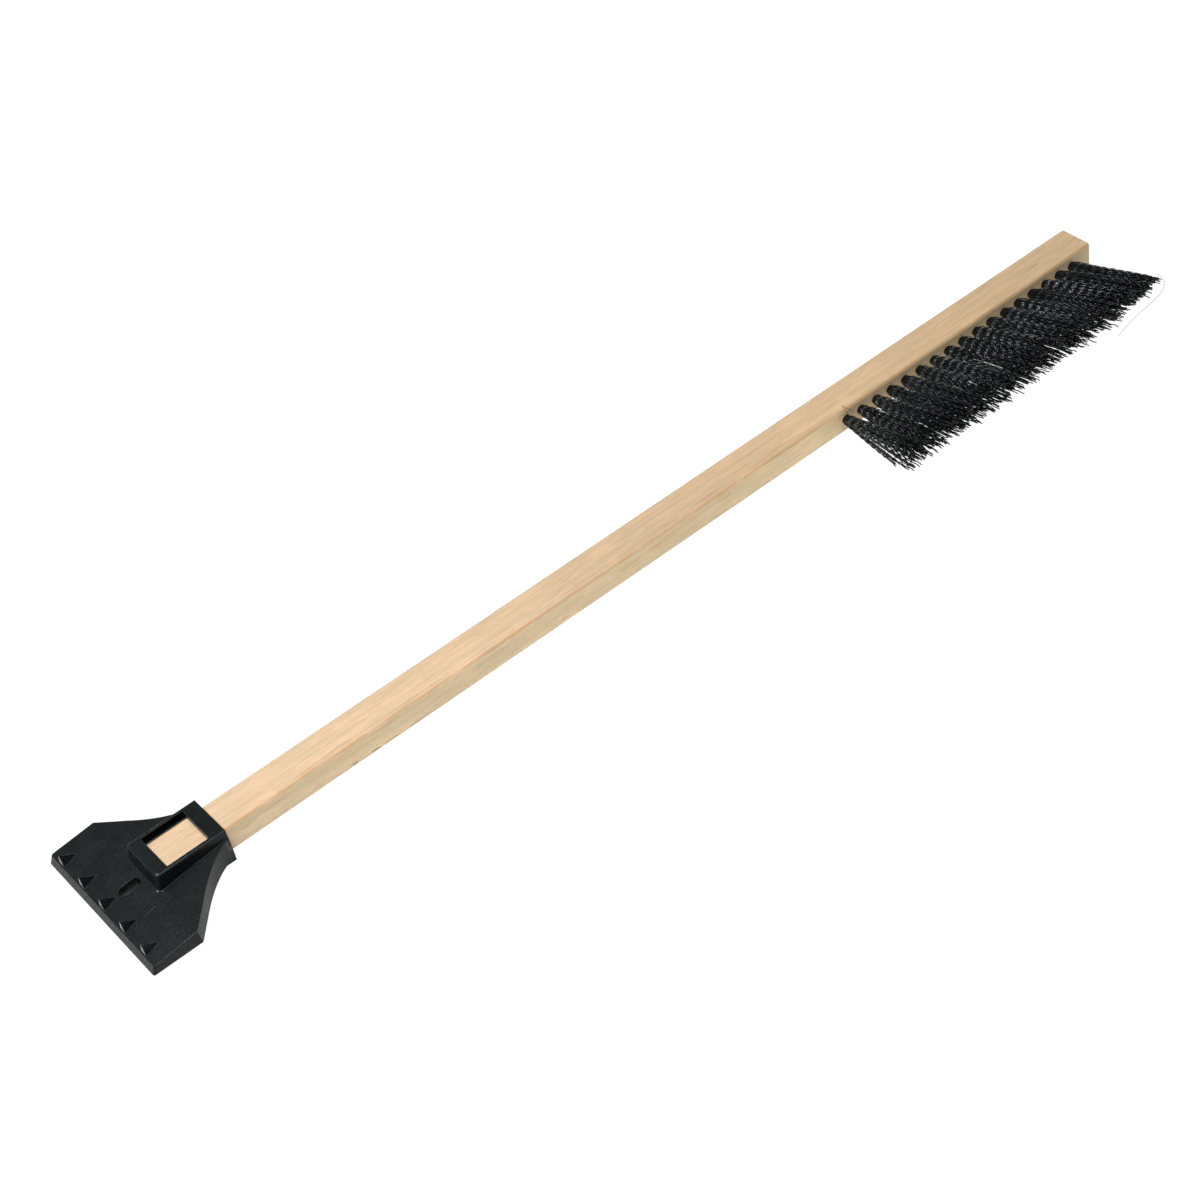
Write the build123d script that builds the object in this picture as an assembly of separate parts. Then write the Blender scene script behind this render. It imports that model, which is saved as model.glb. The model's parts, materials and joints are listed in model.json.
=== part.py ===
from build123d import *
import math
import os

# Snow brush with an ice scraper head on a plain square-edged wooden handle.
#
# Frame: millimetres, +Z up. X runs along the handle, from the scraper blade
# (-X) to the brush end (+X). The bristles point to -Y. The origin is the
# centre of the handle's section at the mouth of the scraper's collar, so the
# collar's open face lies on x = 0 and the blade stands in front of it.

# ---------------------------------------------------------------- handle
HANDLE_W = 22.2          # width, along Y
HANDLE_H = 16.4          # height, along Z
HANDLE_START_X = -37.9   # end buried in the collar
HANDLE_END_X = 632.0     # square-cut far end
HANDLE_EDGE_R = 2.2      # rounded long edges
HANDLE_END_BREAK = 0.5   # chamfer round the end faces
SIDE_Y = -HANDLE_W / 2   # side face that carries the brush

# ---------------------------------------------------------------- blade
PLATE_SLOPE = 0.1167     # the blade's top rises towards the collar
PLATE_FRONT_X = -68.4    # front edge of the blade's top
PLATE_FRONT_Z = -1.4     # height of the blade's top at its front edge
PLATE_T = 2.6            # thickness of the blade plate
PLATE_EDGE_R = 0.35      # soft edge round the blade's top
SKIRT_Z = -6.5           # bottom of the wall that hangs around the blade
SKIRT_T = 2.5            # thickness of that wall
BLANK_TOP_Z = 8.0        # top of the blade's loft before the slope is cut
BLADE_FRONT_X = -70.4    # scraping edge, at the bottom of the front wall
FRONT_BEVEL = 0.39       # lean of the front wall, mm back per mm up
BLADE_HALF_W = 50.4      # half width at the skirt's bottom
SIDE_DRAFT = 0.10        # lean of the side walls, mm in per mm up
REAR_CORNER_X = -41.6    # end of the straight sides, at the skirt's bottom
REAR_INSET = 0.45        # forward shift of that corner per mm of inset
NECK_DRAFT = 0.045       # lean of the concave walls
FRONT_CORNER_R = 1.3

# Concave wall from the blade's rear corner to the collar's mouth, +Y side,
# at the skirt's bottom: x, y, then the outward direction in x and y.
NECK_POINTS = [
    (-29.0, 36.4, 0.74, 0.67),
    (-17.4, 25.4, 0.62, 0.78),
    (-7.5, 19.0, 0.42, 0.91),
    (0.0, 16.2, 0.0, 1.0),
]
NECK_START_SLOPE = 1.10  # mm towards the centre line per mm along X
NECK_END_SLOPE = 0.30

SLOT_X = -51.0           # hanging slot through the blade
SLOT_L = 12.9
SLOT_W = 6.4

TOOTH_COUNT = 5          # ice-breaking teeth along the front edge
TOOTH_PITCH = 19.75
TOOTH_FRONT_X = -67.7
TOOTH_REAR_X = -58.5
TOOTH_HW = 2.3           # half width at the blade's top
TOOTH_H = 6.6
TOOTH_SINK = 1.0         # depth of the base below the blade's top
TOOTH_SINK_L = 3.0       # extra length of the base at that depth
TOOTH_FRONT_LEAN = 0.1   # the front face leans back by this much each way
TOOTH_TIP_HW = 0.25
TOOTH_TIP_L = 0.8

RIB_T = 2.0              # stiffening ribs under the blade
RIB_Z = -5.2             # their bottom edge
RIB_BITE = 0.6           # how far they run into the wall
# Ribs on the +Y side: start x, y and end x, y.
RIBS = [
    (-43.0, 8.0, -69.0, 8.0),
    (-41.0, 15.0, -68.5, 29.6),
    (-24.0, 15.0, -46.0, 49.0),
]

# ---------------------------------------------------------------- collar
COLLAR_TOP_Z = 11.7
COLLAR_BOT_Z = -10.2
COLLAR_TOP_HW = 14.6     # half width at the top
COLLAR_BOT_HW = 16.0     # half width at the bottom
COLLAR_TOP_X = -41.0     # front face at the top
COLLAR_BOT_X = -44.0     # front face at the bottom
COLLAR_CORNER_R = 2.2    # upright front corners
COLLAR_TOP_R = 1.1       # rounding of the top edges
COLLAR_BOT_R = 0.8       # rounding of the bottom edges
COLLAR_EXTRA = 4.0       # length past the mouth, trimmed off at x = 0

HOLLOW_FRONT_X = -43.0   # ahead of here the hollow spans the full width
HOLLOW_REAR_X = -2.6     # solid wall from here to the mouth
COLLAR_OVERLAP = 0.4     # solid strip under the collar, inside its half width

SOCKET_CLEAR = 0.05      # clearance between socket and wood, each side
SOCKET_END_X = -38.3
SOCKET_EDGE_R = 1.0
SOCKET_HW = HANDLE_W / 2 + SOCKET_CLEAR
SOCKET_HH = HANDLE_H / 2 + SOCKET_CLEAR

WINDOW_X0 = -33.4        # window through the collar's top wall
WINDOW_X1 = -8.5
WINDOW_HW = 12.6
WINDOW_CORNER_R = 0.6

# ---------------------------------------------------------------- brush
TUFT_COUNT = 17
TUFT_X0 = 428.6          # first tuft
TUFT_PITCH = 11.69
TUFT_XS = [TUFT_X0 + i * TUFT_PITCH for i in range(TUFT_COUNT)]
TUFT_Z = 0.8             # row height on the handle's side face
HOLE_R = 2.8
HOLE_DEPTH = 13.0        # to the start of the drill's cone
DRILL_CONE_L = 1.6
DRILL_TIP_R = 0.05
STEM_R = 2.7
STEM_END = 12.6          # how deep the folded tuft reaches
STEM_OUT = 1.5           # length of stem outside the handle
TIP_Y = -62.6            # trimmed bristle tips
TIP_HX = 5.95            # half width of a tuft at the tips, along X
TIP_HZ = 10.0            # half height of a tuft at the tips
REACH_FIRST = 7.6        # outer edge of the first tuft at the tips, towards -X
REACH_LAST = 25.0        # outer edge of the last tuft at the tips, towards +X
# Lean towards the brush end, mm per mm of length: constant, linear and
# square terms of the place along the row, 0 to 1.
LEAN = (0.06, 0.44, -0.17)
FLARE_STEPS = 4
FLARE_X_RATE = 1.5       # inner tufts reach full width along X before the tips

ANCHOR_L = 7.0           # flat wire anchor that holds a folded tuft, along Z
ANCHOR_W = 2.4           # along Y
ANCHOR_T = 0.5           # along X
ANCHOR_TOP = 9.4         # depth of its outer edge in the hole
ANCHOR_CLEAR = 0.02
TUFT_SLOT_HZ = 6.0       # half height of the cut that clears it in the stem

# ---------------------------------------------------------------- nails
NAIL_X = (-11.5, -29.5)
NAIL_R = 0.9
NAIL_LEN = 13.0          # from the head's upper face to the tip
NAIL_HEAD_R = 2.1
NAIL_HEAD_T = 0.9
NAIL_TIP = 2.0           # length of the tapered end
NAIL_TIP_R = 0.15
NAIL_RECESS = 0.3        # head sits this far above the collar's bottom face
NAIL_CLEAR = 0.02
NAIL_Z = COLLAR_BOT_Z + NAIL_RECESS

ON_BASE = (Align.CENTER, Align.CENTER, Align.MIN)


# ---------------------------------------------------------------- helpers
def box(x0, x1, y0, y1, z0, z1):
    middle = Pos((x0 + x1) / 2, (y0 + y1) / 2, (z0 + z1) / 2)
    return middle * Box(x1 - x0, y1 - y0, z1 - z0)


def post(x, z, radius, height):
    """Upright cylinder standing at height z on the centre line."""
    return Pos(x, 0, z) * Cylinder(radius, height, align=ON_BASE)


def edges_along_x(shape):
    return [e for e in shape.edges() if abs(e.tangent_at(0.5).X) > 0.9]


def anchor_box(x, clear, half_z):
    """Block in the place of a tuft's anchor, widened by clear in X and Y."""
    y = SIDE_Y + ANCHOR_TOP
    return box(x - ANCHOR_T / 2 - clear, x + ANCHOR_T / 2 + clear,
               y - clear, y + ANCHOR_W + clear,
               TUFT_Z - half_z, TUFT_Z + half_z)


# ---------------------------------------------------------------- scraper head
def plate_z(x):
    """Height of the blade's top face at x."""
    return PLATE_FRONT_Z + PLATE_SLOPE * (x - PLATE_FRONT_X)


def above_plate(offset):
    """Large block whose sloping underside lies offset above the blade's top."""
    x = -35.0
    angle = math.degrees(math.atan(PLATE_SLOPE))
    return Pos(x, 0, plate_z(x) + offset) * Rot(0, -angle, 0) * Box(160, 160, 60, align=ON_BASE)


def blade_outline(z, inset=0.0):
    """Closed face of the blade's outline at height z, its walls moved in by inset."""
    rise = z - SKIRT_Z
    front_x = BLADE_FRONT_X + FRONT_BEVEL * rise + inset
    half_w = BLADE_HALF_W - SIDE_DRAFT * rise - inset
    rear_x = REAR_CORNER_X - SIDE_DRAFT * rise - REAR_INSET * inset
    neck_in = NECK_DRAFT * rise + inset

    def half(side):
        neck = [(x - out_x * neck_in, side * (y - out_y * neck_in))
                for x, y, out_x, out_y in NECK_POINTS]
        front = (front_x, side * half_w)
        rear = (rear_x, side * half_w)
        curve = Spline(*neck, tangents=[(1.0, -side * NECK_START_SLOPE),
                                        (1.0, -side * NECK_END_SLOPE)])
        return [Line(front, rear), Line(rear, neck[0]), curve], front, neck[-1]

    left, left_front, left_end = half(1)
    right, right_front, right_end = half(-1)
    lines = left + [Line(left_end, right_end)] + right + [Line(left_front, right_front)]
    return Plane.XY.offset(z) * Face(Wire([line.edge() for line in lines]))


def space_under_plate(inset, depth):
    """Room inside the blade's walls, up to depth below the blade's top."""
    space = loft([blade_outline(SKIRT_Z - 0.5, inset), blade_outline(BLANK_TOP_Z, inset)],
                 ruled=True)
    return space - above_plate(-depth)


def make_hollow():
    """Hollow underside, leaving solid the collar's foot and the mouth's wall."""
    foot_hw = COLLAR_BOT_HW - COLLAR_OVERLAP
    hollow = space_under_plate(SKIRT_T, PLATE_T)
    hollow = hollow - box(-90, 0, -foot_hw, foot_hw, -20, 20)
    hollow = hollow - box(HOLLOW_REAR_X, 5, -60, 60, -20, 20)
    front = space_under_plate(SKIRT_T, PLATE_T) & box(-90, HOLLOW_FRONT_X, -60, 60, -20, 20)
    return hollow + front


def make_rib(x0, y0, x1, y1):
    """Tall upright strip between two points, to be cut to the hollow."""
    length = math.hypot(x1 - x0, y1 - y0)
    angle = math.degrees(math.atan2(y1 - y0, x1 - x0))
    strip = Box(length, RIB_T, 30, align=(Align.MIN, Align.CENTER, Align.MIN))
    return Pos(x0, y0, RIB_Z) * Rot(0, 0, angle) * strip


def make_blade():
    blade = loft([blade_outline(SKIRT_Z), blade_outline(BLANK_TOP_Z)], ruled=True)
    front_corners = [e for e in blade.edges()
                     if e.center().X < -60 and abs(e.center().Y) > 45
                     and abs(e.tangent_at(0.5).Z) > 0.8]
    blade = fillet(front_corners, FRONT_CORNER_R)
    blade = blade - above_plate(0.0)

    top_edges = [e for e in blade.edges()
                 if abs(e.center().Z - plate_z(e.center().X)) < 0.4 and e.center().X < -2]
    # the edge stays sharp if the kernel can't round the whole rim
    try:
        blade = fillet(top_edges, PLATE_EDGE_R)
    except Exception:
        pass

    blade = blade - make_hollow()
    # the ribs' space reaches into the wall and the plate, so that they fuse
    rib_space = space_under_plate(SKIRT_T - RIB_BITE, PLATE_T / 2)
    for side in (1, -1):
        for x0, y0, x1, y1 in RIBS:
            blade = blade + (make_rib(x0, side * y0, x1, side * y1) & rib_space)
    return blade


def collar_section(z, half_w, front_x):
    length = COLLAR_EXTRA - front_x
    face = Pos((front_x + COLLAR_EXTRA) / 2, 0, z) * Rectangle(length, 2 * half_w)
    front_corners = [v for v in face.vertices() if v.X < front_x + 0.1]
    return fillet(front_corners, COLLAR_CORNER_R)


def make_collar():
    collar = loft([collar_section(COLLAR_BOT_Z, COLLAR_BOT_HW, COLLAR_BOT_X),
                   collar_section(COLLAR_TOP_Z, COLLAR_TOP_HW, COLLAR_TOP_X)], ruled=True)
    collar = collar - box(0, 30, -40, 40, -40, 40)
    top_rim = [e for e in collar.edges()
               if e.center().Z > COLLAR_TOP_Z - 0.1 and e.center().X < -0.5]
    collar = fillet(top_rim, COLLAR_TOP_R)
    bottom_rim = [e for e in collar.edges()
                  if e.center().Z < COLLAR_BOT_Z + 0.1 and e.center().X < -0.5]
    return fillet(bottom_rim, COLLAR_BOT_R)


def triangle(z, front_x, rear_x, y, half_w):
    """Flat triangle with its wide side in front and its point at the rear."""
    return Pos(0, 0, z) * make_face(Polyline(
        (front_x, y - half_w), (front_x, y + half_w), (rear_x, y), close=True))


def make_tooth(y):
    """Tooth with a steep front, falling to a point at the rear."""
    z = plate_z(TOOTH_FRONT_X)
    base_hw = TOOTH_HW * (1 + TOOTH_SINK / TOOTH_H)
    tip_x = TOOTH_FRONT_X + TOOTH_FRONT_LEAN
    base = triangle(z - TOOTH_SINK, TOOTH_FRONT_X - TOOTH_FRONT_LEAN,
                    TOOTH_REAR_X + TOOTH_SINK_L, y, base_hw)
    tip = triangle(z + TOOTH_H, tip_x, tip_x + TOOTH_TIP_L, y, TOOTH_TIP_HW)
    return loft([base, tip], ruled=True)


def make_head():
    head = make_blade() + make_collar()
    for i in range(TOOTH_COUNT):
        head = head + make_tooth((i - (TOOTH_COUNT - 1) / 2) * TOOTH_PITCH)

    socket = box(SOCKET_END_X, 5, -SOCKET_HW, SOCKET_HW, -SOCKET_HH, SOCKET_HH)
    head = head - fillet(edges_along_x(socket), SOCKET_EDGE_R)

    window = box(WINDOW_X0, WINDOW_X1, -WINDOW_HW, WINDOW_HW, SOCKET_HH, 30)
    upright = [e for e in window.edges() if abs(e.tangent_at(0.5).Z) > 0.9]
    head = head - fillet(upright, WINDOW_CORNER_R)

    head = head - Pos(SLOT_X, 0, -15) * extrude(SlotOverall(SLOT_L, SLOT_W), 30)

    # nail holes up through the collar's floor, each with a recess for the head
    for x in NAIL_X:
        head = head - post(x, COLLAR_BOT_Z - 0.01, NAIL_HEAD_R + NAIL_CLEAR,
                           NAIL_RECESS + NAIL_HEAD_T + NAIL_CLEAR + 0.01)
        head = head - post(x, COLLAR_BOT_Z, NAIL_R + NAIL_CLEAR, 4)
    return head


# ---------------------------------------------------------------- handle
def make_handle():
    handle = box(HANDLE_START_X, HANDLE_END_X, -HANDLE_W / 2, HANDLE_W / 2,
                 -HANDLE_H / 2, HANDLE_H / 2)
    handle = fillet(edges_along_x(handle), HANDLE_EDGE_R)
    end_edges = [e for e in handle.edges()
                 if abs(e.center().X - HANDLE_END_X) < 0.01
                 or abs(e.center().X - HANDLE_START_X) < 0.01]
    handle = chamfer(end_edges, HANDLE_END_BREAK)

    nail_hole_z = -HANDLE_H / 2 - 1
    nail_hole_top = NAIL_Z + NAIL_HEAD_T + NAIL_LEN + NAIL_CLEAR
    for x in NAIL_X:
        handle = handle - post(x, nail_hole_z, NAIL_R + NAIL_CLEAR, nail_hole_top - nail_hole_z)

    # tuft holes, drilled towards +Y, each with a notch for its anchor
    for x in TUFT_XS:
        bore = Pos(x, SIDE_Y - 1, TUFT_Z) * Rot(-90, 0, 0) * Cylinder(
            HOLE_R, HOLE_DEPTH + 1, align=ON_BASE)
        cone = Pos(x, SIDE_Y + HOLE_DEPTH, TUFT_Z) * Rot(-90, 0, 0) * Cone(
            HOLE_R, DRILL_TIP_R, DRILL_CONE_L, align=ON_BASE)
        notch = anchor_box(x, ANCHOR_CLEAR, ANCHOR_L / 2 + ANCHOR_CLEAR)
        handle = handle - bore - cone - notch
    return handle


# ---------------------------------------------------------------- brush
def make_tuft(i):
    """One bundle: a stem folded into its hole and a flared, trimmed brush."""
    x = TUFT_XS[i]
    is_first = i == 0
    is_last = i == TUFT_COUNT - 1

    # both edges of the tuft at the tips, measured along X from its hole
    row = i / (TUFT_COUNT - 1)
    lean = (LEAN[0] + LEAN[1] * row + LEAN[2] * row * row) * (SIDE_Y - TIP_Y)
    low = -REACH_FIRST if is_first else lean - TIP_HX
    high = REACH_LAST if is_last else lean + TIP_HX
    shift, tip_hx = (low + high) / 2, (high - low) / 2

    stem = Pos(x, SIDE_Y + STEM_END, TUFT_Z) * Rot(90, 0, 0) * Cylinder(
        STEM_R, STEM_END + STEM_OUT, align=ON_BASE)

    # a round section at the stem, then ovals that grow to the trimmed tips
    flare_y = SIDE_Y - STEM_OUT
    x_rate = 1.0 if is_first or is_last else FLARE_X_RATE
    sections = []
    for k in range(FLARE_STEPS + 1):
        t = k / FLARE_STEPS
        half_x = STEM_R + (tip_hx - STEM_R) * min(1.0, x_rate * t)
        half_z = STEM_R + (TIP_HZ - STEM_R) * t
        plane = Plane(origin=(x + shift * t, flare_y + (TIP_Y - flare_y) * t, TUFT_Z),
                      x_dir=(1, 0, 0), z_dir=(0, -1, 0))
        sections.append(plane * (Circle(STEM_R) if k == 0 else Ellipse(half_x, half_z)))
    body = stem + loft(sections, ruled=True)
    return body - anchor_box(x, ANCHOR_CLEAR, TUFT_SLOT_HZ)


def make_anchors():
    return [anchor_box(x, 0.0, ANCHOR_L / 2) for x in TUFT_XS]


# ---------------------------------------------------------------- nails
def make_nail(x):
    shank_l = NAIL_HEAD_T + NAIL_LEN - NAIL_TIP
    head = post(x, NAIL_Z, NAIL_HEAD_R, NAIL_HEAD_T)
    shank = post(x, NAIL_Z, NAIL_R, shank_l)
    tip = Pos(x, 0, NAIL_Z + shank_l) * Cone(NAIL_R, NAIL_TIP_R, NAIL_TIP, align=ON_BASE)
    return head + shank + tip


# ---------------------------------------------------------------- files
def write(name, *shapes):
    solids = [solid for shape in shapes for solid in shape.solids()]
    piece = solids[0] if len(solids) == 1 else Compound(children=solids)
    export_step(piece, f"parts/{name}.step")


os.makedirs("parts", exist_ok=True)
write("wooden_handle", make_handle())
write("scraper_head", make_head())
for i in range(TUFT_COUNT):
    write(f"bristle_tuft_{i + 1:02d}", make_tuft(i))
write("tuft_anchors", *make_anchors())
write("head_nails", *[make_nail(x) for x in NAIL_X])
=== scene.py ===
# A long wooden-handled brush with a moulded black scraper head.
# The handle lies along X: the head is at the -X end, and near the +X end a row of crimped black
# tufts stands out of the -Y side. +Z is up. Lengths are metres, apart from the sections marked mm.
import json
import math
import bpy
import numpy as np
from mathutils import Matrix, Vector

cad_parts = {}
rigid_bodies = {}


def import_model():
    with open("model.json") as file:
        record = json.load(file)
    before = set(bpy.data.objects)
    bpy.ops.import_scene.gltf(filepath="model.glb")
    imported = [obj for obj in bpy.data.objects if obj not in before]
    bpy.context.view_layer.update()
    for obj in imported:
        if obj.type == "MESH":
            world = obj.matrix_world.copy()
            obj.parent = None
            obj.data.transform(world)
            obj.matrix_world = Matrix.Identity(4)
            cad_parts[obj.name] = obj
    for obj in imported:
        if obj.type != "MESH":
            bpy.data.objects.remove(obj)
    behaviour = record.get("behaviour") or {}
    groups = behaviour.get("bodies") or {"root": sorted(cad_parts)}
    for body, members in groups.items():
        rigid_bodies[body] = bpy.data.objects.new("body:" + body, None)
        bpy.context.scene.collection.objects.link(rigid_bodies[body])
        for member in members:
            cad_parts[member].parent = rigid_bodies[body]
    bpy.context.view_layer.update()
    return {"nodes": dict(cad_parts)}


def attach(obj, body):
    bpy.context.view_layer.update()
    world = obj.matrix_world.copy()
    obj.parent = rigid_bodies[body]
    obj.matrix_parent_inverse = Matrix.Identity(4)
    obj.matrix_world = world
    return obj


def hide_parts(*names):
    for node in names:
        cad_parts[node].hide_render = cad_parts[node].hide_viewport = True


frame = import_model()

MM = 0.001
SEED = 20417


# ------------------------------------------------------------------ node help
class Tree:
    """A material's node tree, with short calls for its nodes.

    A scale, shift or colour may be one number for all its channels. Masks run from 0 to 1.
    """

    def __init__(self, name):
        self.mat = bpy.data.materials.new(name)
        self.mat.use_nodes = True
        self.tree = self.mat.node_tree
        self.tree.nodes.clear()
        self.out = self.tree.nodes.new("ShaderNodeOutputMaterial")
        self.place = self.node("TexCoord").outputs["Object"]

    def set(self, node, key, value):
        socket = node.inputs[key]
        if isinstance(value, bpy.types.NodeSocket):
            self.tree.links.new(value, socket)
            return
        if hasattr(socket.default_value, "__len__") and not hasattr(value, "__len__"):
            value = [value] * len(socket.default_value)
        if hasattr(value, "__len__") and socket.type == "RGBA" and len(value) == 3:
            value = list(value) + [1.0]
        socket.default_value = value

    def node(self, kind, inputs=None, **props):
        node = self.tree.nodes.new("ShaderNode" + kind)
        for key, value in props.items():
            setattr(node, key, value)
        for key, value in (inputs or {}).items():
            self.set(node, key, value)
        return node

    def math(self, operation, *values, clamp=False):
        return self.node("Math", dict(enumerate(values)), operation=operation,
                         use_clamp=clamp).outputs[0]

    def fold(self, operation, first, *rest):
        """Applies a two-value operation from left to right."""
        for value in rest:
            first = self.math(operation, first, value)
        return first

    def add(self, *values):
        return self.fold("ADD", *values)

    def sub(self, *values):
        return self.fold("SUBTRACT", *values)

    def mul(self, *values):
        return self.fold("MULTIPLY", *values)

    def greatest(self, *values):
        return self.fold("MAXIMUM", *values)

    def size(self, value):
        return self.math("ABSOLUTE", value)

    def vector(self, operation, first, second):
        node = self.node("VectorMath", {0: first, 1: second}, operation=operation)
        scalar = operation in ("DOT_PRODUCT", "DISTANCE")
        return node.outputs["Value" if scalar else "Vector"]

    def split(self, vector):
        return self.node("SeparateXYZ", {0: vector}).outputs[:3]

    def geometry(self, output):
        return self.node("NewGeometry").outputs[output]

    def mapping(self, vector, scale, shift=0, turn=0):
        return self.node("Mapping", {"Vector": vector, "Scale": scale, "Location": shift,
                                     "Rotation": turn}).outputs[0]

    def noise(self, scale, detail=2.0, rough=0.5, shift=0, distortion=0.0, out="Fac"):
        """Noise with its own scale, per metre, along each axis."""
        return self.node("TexNoise", {"Vector": self.mapping(self.place, scale, shift),
                                      "Scale": 1.0, "Detail": detail, "Roughness": rough,
                                      "Distortion": distortion}).outputs[out]

    def cells(self, scale):
        """Distance to the nearest of a scatter of points."""
        return self.node("TexVoronoi", {"Vector": self.mapping(self.place, scale),
                                        "Scale": 1.0}).outputs["Distance"]

    def wave(self, vector, scale, distortion, detail_scale, **kind):
        return self.node("TexWave", {"Vector": vector, "Scale": scale, "Distortion": distortion,
                                     "Detail": 2.0, "Detail Scale": detail_scale},
                         wave_profile="SAW", **kind).outputs["Fac"]

    def ramp(self, fac, stops):
        """Grey ramp; each stop is (position, grey)."""
        node = self.node("ValToRGB", {"Fac": fac})
        elements = node.color_ramp.elements
        while len(elements) < len(stops):
            elements.new(0.5)
        for element, (position, grey) in zip(elements, stops):
            element.position = position
            element.color = (grey, grey, grey, 1)
        return node.outputs["Color"]

    def ease(self, value, over, to=(0, 1)):
        """Goes smoothly between the two ends of `to` as the value crosses `over`."""
        return self.node("MapRange", {"Value": value, "From Min": over[0], "From Max": over[1],
                                      "To Min": to[0], "To Max": to[1]},
                         interpolation_type="SMOOTHSTEP").outputs[0]

    def fall(self, value, over):
        return self.ease(value, over, to=(1, 0))

    def mix(self, base, over, mask, strength=None, blend="MIX"):
        if strength is not None:
            mask = self.mul(mask, strength)
        node = self.node("Mix", {0: mask, 6: base, 7: over}, data_type="RGBA", blend_type=blend)
        return node.outputs[2]

    def tint(self, base, colour):
        return self.mix(base, colour, 1.0, blend="MULTIPLY")

    def bevel(self, radius, samples):
        return self.node("Bevel", {"Radius": radius}, samples=samples).outputs[0]

    def edge(self, bevel, true_normal):
        """Mask of the edges, where the bevelled normal leaves the true one."""
        facing = self.vector("DOT_PRODUCT", bevel, true_normal)
        return self.math("SUBTRACT", 1.0, facing, clamp=True)

    def bump(self, height, strength, distance, normal=None):
        node = self.node("Bump", {"Height": height, "Strength": strength, "Distance": distance})
        if normal is not None:
            self.set(node, "Normal", normal)
        return node.outputs[0]

    def principled(self, **inputs):
        named = {key.replace("_", " "): value for key, value in inputs.items()}
        return self.node("BsdfPrincipled", named).outputs[0]

    def done(self, shader):
        self.tree.links.new(shader, self.out.inputs["Surface"])
        return self.mat


# ------------------------------------------------------------------ wood
# lines on the top face, mm: y, from x, to x, half width, strength
GRAIN_LINES = [
    (-8.75, 38, 150, 0.26, 0.62), (-9.30, 30, 128, 0.22, 0.50), (-4.6, 4, 82, 0.20, 0.50),
    (-6.3, -8, 66, 0.20, 0.40), (3.4, 60, 190, 0.18, 0.28), (-8.1, 150, 330, 0.24, 0.46),
    (-2.2, 205, 318, 0.20, 0.34), (5.8, 232, 372, 0.20, 0.30), (-6.9, 262, 398, 0.22, 0.40),
    (-8.9, 330, 520, 0.24, 0.42), (1.2, 372, 506, 0.20, 0.28), (-4.4, 430, 585, 0.22, 0.34),
    (6.6, 470, 620, 0.20, 0.30), (-1.0, -34, -6, 0.18, 0.34), (4.2, -36, -2, 0.18, 0.30),
    (-5.2, -36, 10, 0.18, 0.36), (8.0, 20, 140, 0.18, 0.26)]
LINE_WANDER = (0.0016, -0.0022, 0.0028)     # sideways wander, taken in turn by the lines
LINE_FADE = 14                              # mm over which a line fades at each end
# dark marks low on the -Y side, mm: x, z, half length, half height, strength
WOOD_MARKS = [
    (92.0, -6.0, 4.6, 0.85, 0.80), (78.6, -5.7, 3.0, 0.80, 0.66), (103.0, -6.1, 7.0, 0.62, 0.62),
    (86.0, -6.5, 4.6, 0.55, 0.46), (118.0, -6.0, 5.6, 0.50, 0.46), (98.5, -5.6, 2.2, 0.42, 0.50)]


def growth_layers(t):
    """Slowly wandering growth layers, seen as long lines on the faces."""
    warp = t.noise((9, 60, 60), out="Color")
    warp = t.vector("SUBTRACT", warp, (0.5, 0.5, 0.5))
    warp = t.vector("MULTIPLY", warp, (0.0, 0.0045, 0.0045))
    warped = t.mapping(t.vector("ADD", t.place, warp), scale=(0.25, 1, 1),
                       shift=(0, 0.031, 0.012), turn=(0.42, 0, 0.006))
    layers = t.wave(warped, scale=62.0, distortion=2.2, detail_scale=1.1,
                    wave_type="BANDS", bands_direction="Y")
    return t.ramp(layers, [(0.0, 0.0), (0.72, 0.35), (0.93, 1.0), (1.0, 0.1)])


def end_grain(t):
    """Rings and pores, for the sawn ends."""
    rings = t.wave(t.mapping(t.place, scale=(0, 1, 1), shift=(0, 0.031, 0.052)), scale=165.0,
                   distortion=1.2, detail_scale=2.0, wave_type="RINGS", rings_direction="X")
    pores = t.cells((0, 5200, 5200))
    col = t.mix((0.50, 0.355, 0.225), (0.36, 0.235, 0.135),
                t.ease(rings, over=(0.2, 0.95), to=(0, 0.55)))
    return t.mix(col, (0.30, 0.18, 0.09), t.ease(pores, over=(0.10, 0.28), to=(0.45, 0)))


def grain_lines(t, x, y, z):
    """Mask of the separate grain lines on the top face."""
    wander = t.noise((16, 0, 0))
    broken = t.ease(t.noise((90, 700, 700), shift=(0.4, 0, 0)), over=(0.36, 0.56), to=(0.15, 1))
    lines = []
    for k, (line_y, start, end, width, strength) in enumerate(GRAIN_LINES):
        offset = t.mul(t.sub(wander, 0.5), LINE_WANDER[k % 3])
        away = t.size(t.sub(y, line_y * MM, offset))
        lines.append(t.mul(
            t.ease(away, over=(width * MM * 0.3, width * MM), to=(min(strength * 1.45, 0.9), 0)),
            t.ease(x, over=(start * MM, (start + LINE_FADE) * MM)),
            t.fall(x, over=((end - LINE_FADE) * MM, end * MM))))
    return t.mul(t.greatest(*lines), broken, t.ease(z, over=(0.0058, 0.0066)))


def wood_marks(t, x, y, z, fibre):
    """Mask of the dark marks, their outlines frayed by the fibres."""
    marks = []
    for mark_x, mark_z, half_length, half_height, strength in WOOD_MARKS:
        across = t.math("DIVIDE", t.sub(x, mark_x * MM), half_length * MM)
        up = t.math("DIVIDE", t.sub(z, mark_z * MM), half_height * MM)
        away = t.math("SQRT", t.add(t.mul(across, across), t.mul(up, up)))
        away = t.add(away, t.mul(t.sub(fibre, 0.5), 0.9))
        marks.append(t.ease(away, over=(0.45, 1.05), to=(strength, 0)))
    return t.mul(t.greatest(*marks), t.ease(y, over=(-0.0095, -0.0102)))


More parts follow.
